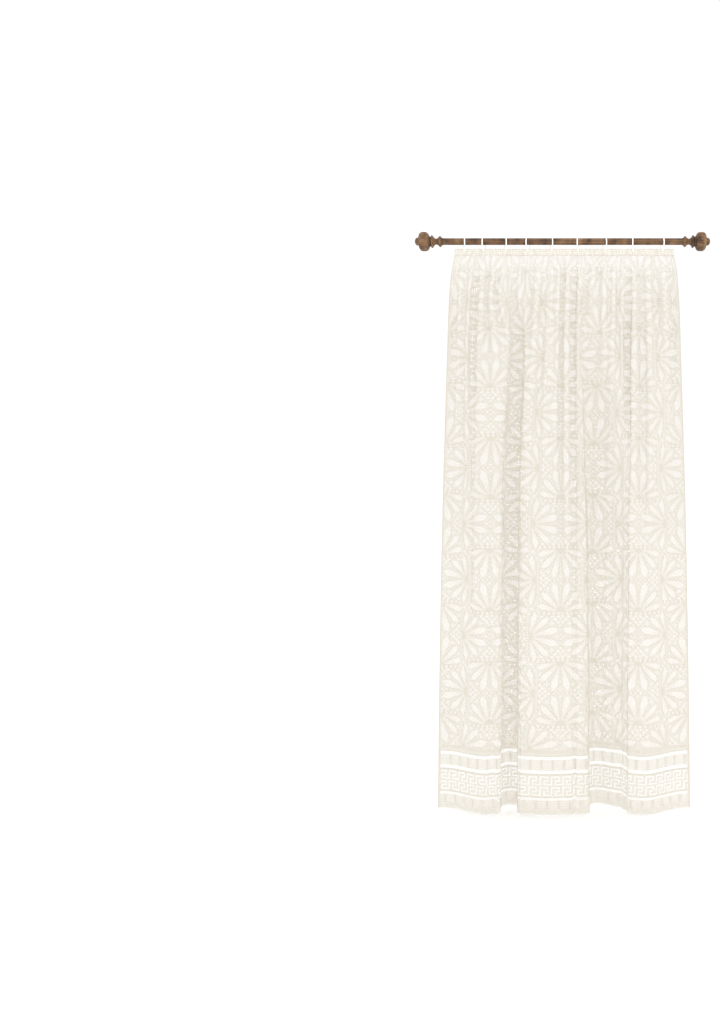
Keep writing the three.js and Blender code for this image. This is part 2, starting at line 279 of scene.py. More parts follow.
class Field:
    """A number that changes over a surface, worked out by math nodes in one material."""

    def __init__(self, tree, socket):
        self.tree = tree
        self.socket = socket

    def math(self, operation, *others):
        node = self.tree.nodes.new("ShaderNodeMath")
        node.operation = operation
        for socket, value in zip(node.inputs, (self, *others)):
            if isinstance(value, Field):
                self.tree.links.new(value.socket, socket)
            else:
                socket.default_value = value
        return Field(self.tree, node.outputs[0])

    def __add__(self, other):
        return self.math("ADD", other)

    def __radd__(self, other):
        return self.math("ADD", other)

    def __sub__(self, other):
        return self.math("SUBTRACT", other)

    def __rsub__(self, other):
        return (self * -1).math("ADD", other)

    def __mul__(self, other):
        return self.math("MULTIPLY", other)

    def __rmul__(self, other):
        return self.math("MULTIPLY", other)

    def __truediv__(self, other):
        return self.math("DIVIDE", other)

    def __abs__(self):
        return self.math("ABSOLUTE")

    def least(self, other):
        return self.math("MINIMUM", other)

    def most(self, other):
        return self.math("MAXIMUM", other)

    def over(self, other):
        """1 where this is the greater, and 0 elsewhere."""
        return self.math("GREATER_THAN", other)

    def under(self, other):
        return self.math("LESS_THAN", other)

    def rises(self, low, high):
        """0 below low, 1 above high, and a smooth rise between. If low is the greater, it falls instead."""
        node = self.tree.nodes.new("ShaderNodeMapRange")
        node.interpolation_type = "SMOOTHSTEP"
        self.tree.links.new(self.socket, node.inputs["Value"])
        node.inputs["From Min"].default_value = min(low, high)
        node.inputs["From Max"].default_value = max(low, high)
        node.inputs["To Min"].default_value = 0 if low < high else 1
        node.inputs["To Max"].default_value = 1 if low < high else 0
        return Field(self.tree, node.outputs["Result"])

    def band(self, low, high, edge):
        """1 between low and high, with edges that are so soft."""
        return self.rises(low - edge, low + edge) * self.rises(high + edge, high - edge)


def new_material(name):
    material = bpy.data.materials.new(name)
    material.use_nodes = True
    tree = material.node_tree
    return material, tree, tree.nodes["Principled BSDF"]


def noise(tree, vector, scale, detail=2.0, roughness=0.5):
    node = tree.nodes.new("ShaderNodeTexNoise")
    node.inputs["Scale"].default_value = scale
    node.inputs["Detail"].default_value = detail
    node.inputs["Roughness"].default_value = roughness
    if vector is not None:
        tree.links.new(vector, node.inputs["Vector"])
    return Field(tree, node.outputs["Fac"])


def stretched(tree, vector, scale):
    node = tree.nodes.new("ShaderNodeMapping")
    node.inputs["Scale"].default_value = scale
    tree.links.new(vector, node.inputs["Vector"])
    return node.outputs["Vector"]


def blend_colours(tree, share, first, second):
    """A colour socket between two colours, each a tuple or another such socket."""
    node = tree.nodes.new("ShaderNodeMix")
    node.data_type = "RGBA"
    tree.links.new(share.socket, node.inputs["Factor"])
    for place, colour in ((6, first), (7, second)):
        if isinstance(colour, tuple):
            node.inputs[place].default_value = (*colour, 1)
        else:
            tree.links.new(colour, node.inputs[place])
    return node.outputs[2]


def add_bump(tree, shader, height, distance, strength=1.0):
    node = tree.nodes.new("ShaderNodeBump")
    node.inputs["Distance"].default_value = distance
    node.inputs["Strength"].default_value = strength
    tree.links.new(height.socket, node.inputs["Height"])
    tree.links.new(node.outputs["Normal"], shader.inputs["Normal"])


# The lace field: a mirrored repeat, whose quarter is a pinwheel of four blocks, each with a fan of three
# petals
REPEAT_WIDTH = 486.67
REPEAT_LENGTH = 478.4
REPEAT_AXIS = (730, 228)  # a crossing of two mirror axes, in flat millimetres
QUARTER = 241.5  # the quarter is drawn on a square of this side
FAN_LONG = 135
FAN_SHORT = QUARTER - FAN_LONG
FIELD_ENDS = 2142
PETAL_ANGLE = radians(30)
SPOKE_ANGLE = radians(6.6)  # half of what is left closed between two petals
PETAL_FROM = 22
PETAL_TO = 1.0  # where its point would be, as a share of the block
PETAL_POINT = 1.5  # how steeply the two sides of the point close
PETAL_ROUNDING = 7
DOT_AT = 0.90
DOT_RADIUS = 5.5
GROUND_PITCH = 19  # the small diamonds of the ground
CORNER_PITCH = 25  # the larger ones in the corners of the blocks
BERRY_PITCH = 21
BERRY_RADIUS = 5.6
BERRIES_IN = 7  # from the block's edge
TICK_PITCH = 11.5
FIELD_CONTRAST = 0.74
FIELD_MIDDLE = 0.34


def diamonds(p, q, pitch):
    """0 on the threads of a net of diamonds, and 1 in the middle of each."""
    rising = ((p + q) * (pi / pitch)).math("SINE").math("ABSOLUTE")
    falling = ((p - q) * (pi / pitch)).math("SINE").math("ABSOLUTE")
    return rising.least(falling)


def lace_field(u, v, uneven):
    """How open the flowered field of the lace is, 0 to 1, at a place in flat millimetres."""
    x = (u - REPEAT_AXIS[0]).math("PINGPONG", REPEAT_WIDTH / 2) * (2 * QUARTER / REPEAT_WIDTH)
    y = (v - REPEAT_AXIS[1]).math("PINGPONG", REPEAT_LENGTH / 2) * (2 * QUARTER / REPEAT_LENGTH)
    half = QUARTER / 2
    offset = FAN_LONG - half
    a = x - half
    b = y - half
    block_b = b.under(-offset) * a.under(offset)
    block_d = a.over(offset) * b.under(offset)
    block_c = b.over(offset) * a.over(-offset)
    block_a = 1 - block_b - block_c - block_d
    p = block_b * (offset - a) + block_d * (offset - b) + block_c * (a + offset) + block_a * (b + offset)
    q = block_b * (b + half) + block_d * (half - a) + block_c * (half - b) + block_a * (a + half)
    level = block_b + block_c
    radius = (p * p + q * q).math("SQRT")
    angle = q.math("ARCTAN2", p)
    reach = ((p / FAN_LONG) * (p / FAN_LONG) + (q / FAN_SHORT) * (q / FAN_SHORT)).math("SQRT")
    scale = radius / (reach + 0.001)

    # Petals are spear shaped and brightest near their tips, with a dot at the end of each gap between two
    from_spoke = angle.math("PINGPONG", PETAL_ANGLE / 2)
    beside = radius * (PETAL_ANGLE / 2 - from_spoke).math("SINE")
    beside_spoke = radius * (from_spoke - SPOKE_ANGLE)
    before_point = (PETAL_TO - reach) * scale - beside * PETAL_POINT
    petal = beside_spoke.math("SMOOTH_MIN", before_point, PETAL_ROUNDING)
    petal = petal.math("SMOOTH_MIN", radius - PETAL_FROM, 3.0)
    from_dot = (reach - DOT_AT) * scale
    off_gap = radius * from_spoke.math("SINE")
    dot = DOT_RADIUS - (from_dot * from_dot + off_gap * off_gap).math("SQRT")
    light = petal.rises(-1.5, 4.6).most(dot.rises(-1.0, 2.0))
    rim = petal.band(-6.0, -1.5, 1.5)

    # The ground, the corners of the blocks, and the rows of berries or ticks along their long edges
    ground = 0.06 + 0.60 * diamonds(p, q, GROUND_PITCH).rises(0.18, 0.72)
    corner = reach.rises(1.04, 1.09)
    corners = 0.05 + 0.80 * diamonds(p, q, CORNER_PITCH).rises(0.22, 0.50)
    tone = ground + corner * (corners - ground)
    tone = tone * (1 - 0.65 * rim)
    row = q - (FAN_SHORT - BERRIES_IN)
    along = p.math("PINGPONG", BERRY_PITCH / 2)
    berries = (BERRY_RADIUS - (along * along + row * row).math("SQRT")).rises(-1.0, 1.6)
    ticks = abs(row).rises(6.0, 4.4) * (p * (2 * pi / TICK_PITCH)).math("SINE").rises(-0.2, 0.5)
    edging = abs(row).rises(9.5, 8.0)
    trim = 0.12 + 0.70 * (level * berries + (1 - level) * ticks)
    tone = tone + edging * (trim - tone)
    hub = radius.rises(22, 12)
    tone = tone * (1 - 0.8 * hub)
    vein = beside.rises(1.6, 0.6) * radius.rises(PETAL_FROM + 10, PETAL_FROM + 20)
    petals = 0.64 + 0.22 * reach.rises(0.28, 0.72) - 0.22 * vein
    tone = tone + light * (petals - tone)
    return (tone * FIELD_CONTRAST + (1 - FIELD_CONTRAST) * FIELD_MIDDLE) * (0.82 + 0.36 * uneven)


# The border, in millimetres above the hem
KEY_WIDTH = 46.3
KEY_HEIGHT = 32
KEY_ROWS = (160.7, 115.7)
KEY_LINE = 5.6
KEY_MARGIN = 4
KEY_TONE = 1.1
BORDER_TOP = 258.6
BORDER_TONE = 0.42
BLOCK_DARKENING = 0.24
LADDER_PITCH = 11.0
HEM_EDGE = (9, 5)
HEM_EDGE_TONE = 0.7
OPEN_LINES = ((232.7, 246.5, 1.25), (172.8, 187.3, 1.4), (61.2, 72.0, 1.2))
THIN_LINES = ((26.2, 28.2, 0.75), (199.5, 203, 0.62))
DENSE_LINES = ((167.8, 172.8), (74.5, 77.5), (246.5, 250.5))
BLOCK_BANDS = ((187.3, 232.7, 0.0, 10.2), (28.2, 61.2, 0.46, 8.2))


def segment(x, y, start, end):
    """How far a place is from an upright or level line between two points."""
    across = (x - min(start[0], end[0])).least(max(start[0], end[0]) - x)
    along = (y - min(start[1], end[1])).least(max(start[1], end[1]) - y)
    dx = (across * -1).most(0)
    dy = (along * -1).most(0)
    return (dx * dx + dy * dy).math("SQRT")


def greek_key(u, down):
    """1 on the running key line. down is in millimetres from the top line of its row."""
    x = (u / KEY_WIDTH).math("FRACT") * 3
    y = down * (2 / KEY_HEIGHT)
    unit = KEY_WIDTH / 3
    corners = [(0, 2), (0, 0), (2, 0), (2, 1), (1, 1), (1, 2), (3, 2), (3, 0), (5, 0)]
    found = None
    for start, end in zip(corners, corners[1:]):
        distance = segment(x, y, start, end)
        found = distance if found is None else found.least(distance)
    return (found * unit).rises(KEY_LINE / 2 + 0.8, KEY_LINE / 2 - 0.8)


def border(u, h):
    """How open the border is, 0 to 1, so many millimetres above the hem."""
    tone = BORDER_TONE
    for low, high, phase, bar in BLOCK_BANDS:
        place = (u / KEY_WIDTH + phase).math("FRACT") * KEY_WIDTH
        block = place.rises(bar - 1, bar + 1) * place.rises(KEY_WIDTH, KEY_WIDTH - 1.6)
        ladder = 0.40 + 0.10 * (h * (2 * pi / LADDER_PITCH)).math("SINE")
        tone = tone + h.band(low, high, 0.8) * (block * ladder - BLOCK_DARKENING)
    for low, high, light in OPEN_LINES:
        tone = tone + h.band(low, high, 1.1) * (light - tone)
    for low, high, light in THIN_LINES:
        tone = tone + h.band(low, high, 0.8) * (light - tone)
    for low, high in DENSE_LINES:
        tone = tone * (1 - h.band(low, high, 0.7))
    for top in KEY_ROWS:
        in_row = h.band(top - KEY_HEIGHT - KEY_MARGIN, top + KEY_MARGIN, 0.5)
        tone = tone + greek_key(u, top - h) * in_row * (KEY_TONE - tone)
    edge = h.rises(*HEM_EDGE)
    return tone + edge * (HEM_EDGE_TONE - tone)


SELVAGE = 9.0
SELVAGE_TONE = 0.05
STRIPE_TONE = 0.5
PLAIN_TONE = 0.22  # between the flowered field and the border
WALE = 2.9
COURSE = 3.3
MOST_OPEN = 0.97
PAINTED_LIGHT_NEAR_HEADING = (260, 40)  # painted light: near the gathered heading the colour is lighter, to lift the shade there
CLOTH_ROUGHNESS = 0.9
CLOTH_SHEEN = 0.12
LIGHT_THROUGH = 0.4
THREAD_IOR = 1.45
CLOTH_BUMP = 0.6 * MM
HEADING_TONE = 0.60
STITCH_ROWS = ((4.2, 5.4), (12.6, 13.8), (21.6, 22.8))
CORD_ROWS = ((7.0, 10.6), (16.0, 19.6))


def lace_material():
    material, tree, shader = new_material("lace")
    uv = tree.nodes.new("ShaderNodeUVMap")
    uv.uv_map = "flat"
    split = tree.nodes.new("ShaderNodeSeparateXYZ")
    tree.links.new(uv.outputs["UV"], split.inputs[0])
    u = Field(tree, split.outputs[0]) * 1000
    v = FLAT_LENGTH - Field(tree, split.outputs[1]) * 1000
    h = FLAT_LENGTH - v
    uneven = noise(tree, stretched(tree, uv.outputs["UV"], (115, 95, 1)), 1.0, 2.0, 0.6)
    field = lace_field(u, v, uneven)
    in_border = v.rises(FIELD_ENDS - 0.8, FIELD_ENDS + 0.8)
    tone = field + in_border * (PLAIN_TONE - field)
    tone = tone + h.rises(BORDER_TOP + 0.8, BORDER_TOP - 0.8) * (border(u, h) - tone)
    from_side = u.least(FLAT_WIDTH - u)
    tone = tone + from_side.rises(SELVAGE + 0.8, SELVAGE - 0.8) * (SELVAGE_TONE - tone)
    tone = tone + from_side.band(SELVAGE - 3.2, SELVAGE - 1.2, 0.5) * (STRIPE_TONE - tone)

    # The net: wales run down the cloth and courses across it, with a hole between each two of both
    wale = (u * (pi / WALE)).math("SINE").math("ABSOLUTE")
    course = (v * (pi / COURSE)).math("SINE").math("ABSOLUTE")
    hole = (wale * course + tone * 0.24).rises(0.40, 0.74)
    see_through = (hole * (0.08 + 0.80 * tone)).least(MOST_OPEN)
    alpha = 1 - see_through
    cloudy = noise(tree, uv.outputs["UV"], 9.0, 3.0)
    fibre = noise(tree, stretched(tree, uv.outputs["UV"], (900, 260, 1)), 1.0, 2.0)
    # Painted light: towards the heading the colour is made lighter, to lift the shade that falls under the
    # gathers.
    painted_light_near_heading = v.rises(*PAINTED_LIGHT_NEAR_HEADING)
    share = tone * 0.95 + (cloudy - 0.5) * 0.16 + (fibre - 0.5) * 0.20 + painted_light_near_heading * 0.40
    colour = blend_colours(tree, share, LACE_DENSE, LACE_OPEN)
    tree.links.new(colour, shader.inputs["Base Color"])
    tree.links.new(alpha.socket, shader.inputs["Alpha"])
    relief = (1 - tone) * 0.6 + (1 - hole) * 0.4 + (fibre - 0.5) * 0.25
    add_bump(tree, shader, relief, CLOTH_BUMP, 0.5)
    shader.inputs["Roughness"].default_value = CLOTH_ROUGHNESS
    shader.inputs["Sheen Weight"].default_value = CLOTH_SHEEN
    shader.inputs["Sheen Roughness"].default_value = 0.5
    shader.inputs["Specular IOR Level"].default_value = 0.0
    shader.inputs["Transmission Weight"].default_value = LIGHT_THROUGH
    shader.inputs["IOR"].default_value = THREAD_IOR
    return material


def heading_material():
    """The heading is the same cloth, shirred so finely that it is nearly closed, with rows of stitching."""
    material, tree, shader = new_material("heading")
    uv = tree.nodes.new("ShaderNodeUVMap")
    uv.uv_map = "flat"
    split = tree.nodes.new("ShaderNodeSeparateXYZ")
    tree.links.new(uv.outputs["UV"], split.inputs[0])
    u = Field(tree, split.outputs[0]) * 1000
    down = Field(tree, split.outputs[1]) * 1000
    wobble = (noise(tree, stretched(tree, uv.outputs["UV"], (60, 30, 1)), 1.0, 2.0) - 0.5) * 1.4
    rows = down + wobble
    stitched = sum(rows.band(low, high, 0.5) for low, high in STITCH_ROWS)
    dash = (u * (pi / 3.2)).math("SINE").math("ABSOLUTE").rises(0.25, 0.5)
    cord = sum(rows.band(low, high, 0.9) for low, high in CORD_ROWS)
    ribs = (u * (pi / 2.6)).math("SINE").math("ABSOLUTE")
    fibre = noise(tree, stretched(tree, uv.outputs["UV"], (500, 900, 1)), 1.0, 2.0)
    drawn = noise(tree, stretched(tree, uv.outputs["UV"], (120, 28, 1)), 1.0, 3.0, 0.6)
    share = HEADING_TONE + (drawn - 0.5) * 1.5 + cord * 0.2 - stitched * (1 - dash) * 0.35
    share = share + (fibre - 0.5) * 0.3
    colour = blend_colours(tree, share, LACE_DENSE, THREAD_WHITE)
    tree.links.new(colour, shader.inputs["Base Color"])
    relief = cord * 0.8 - stitched * 0.9 + ribs * 0.35 + (fibre - 0.5) * 0.3
    add_bump(tree, shader, relief, CLOTH_BUMP, 0.6)
    shader.inputs["Roughness"].default_value = CLOTH_ROUGHNESS
    shader.inputs["Sheen Weight"].default_value = CLOTH_SHEEN
    shader.inputs["Specular IOR Level"].default_value = 0.25
    return material


def wood_material():
    """Stained and waxed wood, grain along the rod, painted shade in the finial's groove and neck, a dark seam
    at the rod, and worn pale on high places.
    """
    material, tree, shader = new_material("wood")
    place = tree.nodes.new("ShaderNodeTexCoord").outputs["Object"]
    split = tree.nodes.new("ShaderNodeSeparateXYZ")
    tree.links.new(place, split.inputs[0])
    x = Field(tree, split.outputs[0]) * 1000
    y = Field(tree, split.outputs[1]) * 1000
    z = Field(tree, split.outputs[2]) * 1000
    fine = noise(tree, stretched(tree, place, (14, 900, 900)), 1.0, 3.0, 0.6)
    streaks = noise(tree, stretched(tree, place, (3.2, 190, 190)), 1.0, 4.0, 0.55)
    stain = noise(tree, stretched(tree, place, (21, 16, 16)), 1.0, 2.0, 0.6)
    pores = noise(tree, stretched(tree, place, (55, 1900, 1900)), 1.0, 1.0)
    outward = abs(x) - 1000 * POLE_SHOWN
    radius = (y * y + z * z).math("SQRT")
    # Painted shade in the finial's groove and, more faintly, its neck; the narrow band at the finial's inner
    # face is the dark seam where the rod enters it.
    groove_shade_and_seam = outward.band(FINIAL_AT["groove"] - 3.4, FINIAL_AT["groove"] + 1.6, 1.2)
    groove_shade_and_seam = groove_shade_and_seam + outward.band(-1.2, 0.8, 0.6) * 0.8
    groove_shade_and_seam = groove_shade_and_seam + outward.band(FINIAL_AT["bead"] + 7, FINIAL_AT["neck"] + 2, 4) * 0.35
    worn = outward.over(0) * radius.rises(24, 39) * stain.rises(0.42, 0.62)
    share = 0.40 + (streaks - 0.5) * 1.6 + (fine - 0.5) * 0.8 + (stain - 0.5) * 2.4 + worn * 0.25
    low = blend_colours(tree, share.rises(0.0, 0.5), WOOD_DARK, WOOD_MIDDLE)
    high = blend_colours(tree, share.rises(0.45, 1.1), low, WOOD_LIGHT)
    pored = blend_colours(tree, pores.rises(0.62, 0.72) * 0.55, high, WOOD_DARK)
    colour = blend_colours(tree, groove_shade_and_seam.least(1) * 0.85, pored, WOOD_SHADE_AND_SEAM)
    tree.links.new(colour, shader.inputs["Base Color"])
    roughness = 0.52 + (streaks - 0.5) * 0.25 + pores.rises(0.6, 0.72) * 0.15
    tree.links.new(roughness.socket, shader.inputs["Roughness"])
    relief = (fine - 0.5) * 0.6 + (streaks - 0.5) * 0.5 - pores.rises(0.6, 0.72) * 0.5
    add_bump(tree, shader, relief, 0.0004, 0.6)
    shader.inputs["Coat Weight"].default_value = 0.04
    shader.inputs["Specular IOR Level"].default_value = 0.35
    shader.inputs["Coat Roughness"].default_value = 0.35
    return material


def ring_material():
    """White moulded rings, a little yellowed, with fine scuffs, and a painted glow that keeps their shaded
    sides white.
    """
    material, tree, shader = new_material("ring")
    place = tree.nodes.new("ShaderNodeTexCoord").outputs["Object"]
    cloudy = noise(tree, place, 60.0, 3.0)
    scuffs = noise(tree, stretched(tree, place, (1400, 300, 300)), 1.0, 2.0)
    colour = blend_colours(tree, cloudy.rises(0.35, 0.75), RING_WHITE, RING_YELLOWED)
    tree.links.new(colour, shader.inputs["Base Color"])
    roughness = 0.32 + (scuffs - 0.5) * 0.35
    tree.links.new(roughness.socket, shader.inputs["Roughness"])
    add_bump(tree, shader, scuffs, 0.0001, 0.4)
    # Painted light: the rings glow, so that their shaded sides stay white.
    shader.inputs["Emission Color"].default_value = WHITE
    shader.inputs["Emission Strength"].default_value = RING_PAINTED_GLOW
    return material


# Fine pleats just under the heading, drawn up by its stitching: their pitch, depth and reach in millimetres
PLEAT_PITCH = 17
PLEAT_DEPTH = 4.2
PLEATS_REACH = 190
UNEVENNESS = 1.6
PLEATS_FROM = 6  # below the heading, where they start to fade
PLEATS_HIDDEN = 14  # how far up inside the heading they start
CREASE_RISE = 120
CREASE_FADE = 350


def pleat_phases(seed):
    """Where each fine pleat starts along the flat width, unevenly spaced, with a depth for each."""
    random = np.random.default_rng(seed)
    starts = [0.0]
    while starts[-1] < FLAT_WIDTH:
        starts.append(starts[-1] + PLEAT_PITCH * random.uniform(0.65, 1.4))
    return np.array(starts), random.uniform(0.35, 1.0, len(starts)), random.uniform(0.45, 1.3, len(starts))


def soft_noise(seed, across, down, along, drop):
    """A smooth uneven number, about -1 to 1, from a few waves of random direction."""
    random = np.random.default_rng(seed)
    total = 0
    for _ in range(7):
        a = random.uniform(0.5, 1.6) / across
        b = random.uniform(-1.2, 1.2) / down
        total = total + np.sin(2 * pi * (a * along + b * drop) + random.uniform(0, 2 * pi))
    return total / 3


def panel_rows():
    top = np.arange(PANEL_TOP, HEADING_DEPTH + 40, 4.0)
    rest = mix(top[-1] + 4, FLAT_LENGTH, np.linspace(0, 1, ROWS - len(top)) ** ROW_CROWDING)
    return np.concatenate([top, rest])


# Creases that hang in the cloth: where each is along the flat width at its top and at its end, the drops
# between which it shows, its half width, and how far it stands forward. A negative one stands back. A
# crease whose last drop is 9000 runs down to the hem. The trough at 1108 deepens in three steps. Started
# higher up, at its full depth, it made the cloth pass through itself.
CREASES = [
    (40, 36, 200, 1500, 14, -5.0),
    (92, 90, 60, 1500, 12, 4.0),
    (150, 148, 60, 1750, 20, -9.0),
    (160, 156, 60, 1750, 9, -10.0),
    (205, 206, 40, 1300, 14, 5.0),
    (262, 262, 700, 9000, 24, -13.0),
    (302, 306, 60, 700, 12, -5.0),
    (452, 456, 300, 9000, 12, -10.0),
    (545, 560, 40, 700, 12, 4.0),
    (552, 554, 900, 9000, 8, -8.0),
    (638, 664, 30, 900, 10, -8.0),
    (660, 690, 60, 1200, 14, 5.0),
    (724, 738, 40, 1950, 13, -4.5),
    (752, 758, 60, 1700, 12, 4.5),
    (806, 786, 40, 2600, 9, -12.0),
    (1040, 1046, 300, 2300, 16, 5.0),
    (1108, 1108, 700, 9000, 24, -7.0),
    (1108, 1108, 900, 9000, 24, -7.0),
    (1108, 1108, 1100, 9000, 24, -6.0),
    (1142, 1134, 250, 9000, 13, -10.0),
    (1158, 1160, 60, 9000, 8, -12.0),
    (1178, 1172, 250, 9000, 15, 8.0),
    (1222, 1214, 60, 900, 12, 4.0),
    (1253, 1245, 200, 1400, 6, -5.0),
    (1310, 1292, 60, 1500, 12, -6.5),
    (1345, 1335, 60, 1500, 14, 5.0),
    (1412, 1412, 60, 1800, 12, -4.0),
]


def cloth_relief(along, drop):
    """How far the fine pleats, the creases and the cloth's unevenness move it forward, in millimetres."""
    below = drop - HEADING_DEPTH
    starts, depths, reaches = pleat_phases(11)
    which = np.searchsorted(starts, along, side="right") - 1
    share = (along - starts[which]) / (starts[which + 1] - starts[which])
    fade = 1 - ease((below - PLEATS_FROM) / (PLEATS_REACH * reaches[which]))
    shown = ease((below + PLEATS_HIDDEN) / PLEATS_HIDDEN)
    pleats = PLEAT_DEPTH * depths[which] * np.sin(pi * share) ** 2 * fade * shown
    creases = np.zeros_like(along)
    for top, end, starts_at, ends_at, half, depth in CREASES:
        share = np.clip((below - starts_at) / (ends_at - starts_at), 0, 1)
        middle = mix(top, end, share)
        risen = ease((below - starts_at + CREASE_RISE / 2) / CREASE_RISE)
        faded = ease((below - ends_at + CREASE_FADE) / CREASE_FADE)
        strength = risen * (1 - faded)
        creases += depth * strength * np.exp(-(((along - middle) / half) ** 2))
    uneven = UNEVENNESS * soft_noise(5, 260, 700, along, drop) * ease(below / 200)
    return pleats - PLEAT_DEPTH / 2 * fade * shown + creases + uneven


def build_panel(material):
    rows = panel_rows()
    along = np.linspace(0, FLAT_WIDTH, COLUMNS + 1)
    points = np.zeros((COLUMNS + 1, len(rows), 3))
    flat = np.zeros((COLUMNS + 1, len(rows), 2))
    steps = np.arange(FLAT_WIDTH + 1)
    below = np.maximum(0, rows - HEADING_DEPTH)
    sections = [section_at(drop) for drop in below]
    places = smooth_paths(np.array([x for x, _ in sections]), below)
    for k, drop in enumerate(rows):
        x = places[k]
        forward = sections[k][1]
        angle = np.unwrap(np.arctan2(np.gradient(forward), np.gradient(x)))
        here = np.interp(along, steps, x)
        out = np.interp(along, steps, forward)
        turned = np.interp(along, steps, angle)
        relief = cloth_relief(along, drop)
        points[:, k, 0] = here - np.sin(turned) * relief
        points[:, k, 1] = -(out + np.cos(turned) * relief)
        points[:, k, 2] = TOP_EDGE - drop
        flat[:, k, 0] = along * MM
        flat[:, k, 1] = (FLAT_LENGTH - drop) * MM
    faces = grid_faces(COLUMNS + 1, len(rows))
    piece = mesh_object("lace_panel", points.reshape(-1, 3) * MM, faces, material)
    add_flat_map(piece, flat.reshape(-1, 2))
    return piece


def add_flat_map(piece, flat):
    """The place of each point on the flat cloth, in metres, as a UV map."""
    layer = piece.data.uv_layers.new(name="flat")
    corners = np.zeros(len(piece.data.loops), dtype=np.int32)
    piece.data.loops.foreach_get("vertex_index", corners)
    layer.data.foreach_set("uv", flat[corners].ravel())


HEADING_HALF = 2.3
HEADING_COLUMNS = 1500
HEADING_ROWS = 26
SHIRR_PITCH = 7.5
SHIRR_DEPTH = 0.95


def build_heading(material):
    """A strip folded over the top of the panel, shirred by its rows of stitching: a closed loop of rows."""
    random = np.random.default_rng(23)
    along = np.linspace(LEFT["top"], RIGHT["top"], HEADING_COLUMNS + 1)
    phase = np.cumsum(random.uniform(0.6, 1.4, HEADING_COLUMNS + 1))
    phase *= (along[-1] - along[0]) / phase[-1] * (2 * pi / SHIRR_PITCH)
    swell = 0.7 + 0.3 * np.sin(along / 41 + 1) * np.sin(along / 23)
    points = []
    flat = []
    count = 2 * HEADING_ROWS
    for i, x in enumerate(along):
        for k in range(count):
            front = k < HEADING_ROWS
            step = k if front else count - 1 - k
            down = HEADING_DEPTH * step / (HEADING_ROWS - 1)
            pull = 1 - 0.55 * max(np.exp(-(((down - s) / 2.0) ** 2)) for s in (5, 13.5, 22.5))
            shirr = SHIRR_DEPTH * np.sin(phase[i] + 0.25 * np.sin(down / 4)) * swell[i]
            rounded = min(1.0, (step + 0.35) / 2.0) ** 0.6
            depth = HEADING_HALF * rounded * (0.78 + 0.22 * pull) + shirr * pull * rounded
            ruffle = 0.5 * np.sin(phase[i] * 0.5 + 1.3) * (1 - ease(down / 5))
            side = -1 if front else 1
            points.append((x * MM, (side * depth) * MM, (TOP_EDGE - down + ruffle) * MM))
            flat.append(((x - LEFT["top"]) * FLAT_WIDTH / (RIGHT["top"] - LEFT["top"]) * MM, down * MM))
    faces = []
    for i in range(HEADING_COLUMNS):
        a = i * count
        b = a + count
        for k in range(count):
            n = (k + 1) % count
            faces.append((a + k, a + n, b + n, b + k))
    last = HEADING_COLUMNS * count
    for k in range(HEADING_ROWS - 1):
        faces.append((k, count - 1 - k, count - 2 - k, k + 1))
        faces.append((last + k, last + k + 1, last + count - 2 - k, last + count - 1 - k))
    piece = mesh_object("heading", points, faces, material)
    add_flat_map(piece, np.array(flat))
    return piece


def lathe(name, profile, sides, material, at, side, bend=None):
    """A turned piece along X. The profile is pairs of a radius and a place along, in metres."""
    points = []
    for i in range(sides):
        angle = 2 * pi * i / sides
        for radius, along in profile:
            r = bend(radius, along, angle) if bend else radius
            points.append((at + side * along, r * sin(angle) * side, r * cos(angle)))
    faces = grid_faces(sides, len(profile), closed=True)
    piece = mesh_object(name, points, faces, material)
    merge_poles(piece.data)
    return piece


def merge_poles(mesh):
    """Joins the points that meet on the axis, and turns the faces outwards."""
    work = bmesh.new()
    work.from_mesh(mesh)
    bmesh.ops.remove_doubles(work, verts=work.verts, dist=1e-7)
    bmesh.ops.recalc_face_normals(work, faces=work.faces)
    work.to_mesh(mesh)
    work.free()
    mesh.polygons.foreach_set("use_smooth", [True] * len(mesh.polygons))


def build_pole(material):
    length = 2 * (POLE_SHOWN + SOCKET_DEPTH - FIT)
    random = np.random.default_rng(3)
    waves = [(random.uniform(3, 14), random.uniform(0, 2 * pi), random.integers(1, 4)) for _ in range(6)]

    def uneven(radius, along, angle):
        if radius <= 0:
            return 0
        wave = sum(np.sin(f * along * 4 + phase + n * angle) for f, phase, n in waves) / 6
        return radius * (1 + POLE_UNEVENNESS / POLE_RADIUS * wave) - POLE_UNEVENNESS / 2

    ends = 1.5 * MM
    profile = [(0, 0), (POLE_RADIUS - ends, 0), (POLE_RADIUS - 0.3 * ends, 0.3 * ends)]
    profile += [(POLE_RADIUS, a) for a in np.linspace(ends, length - ends, POLE_RINGS)]
    profile += [(POLE_RADIUS - 0.3 * ends, length - 0.3 * ends), (POLE_RADIUS - ends, length), (0, length)]
    return lathe("rod_pole", profile, POLE_SIDES, material, -length / 2, 1, uneven)


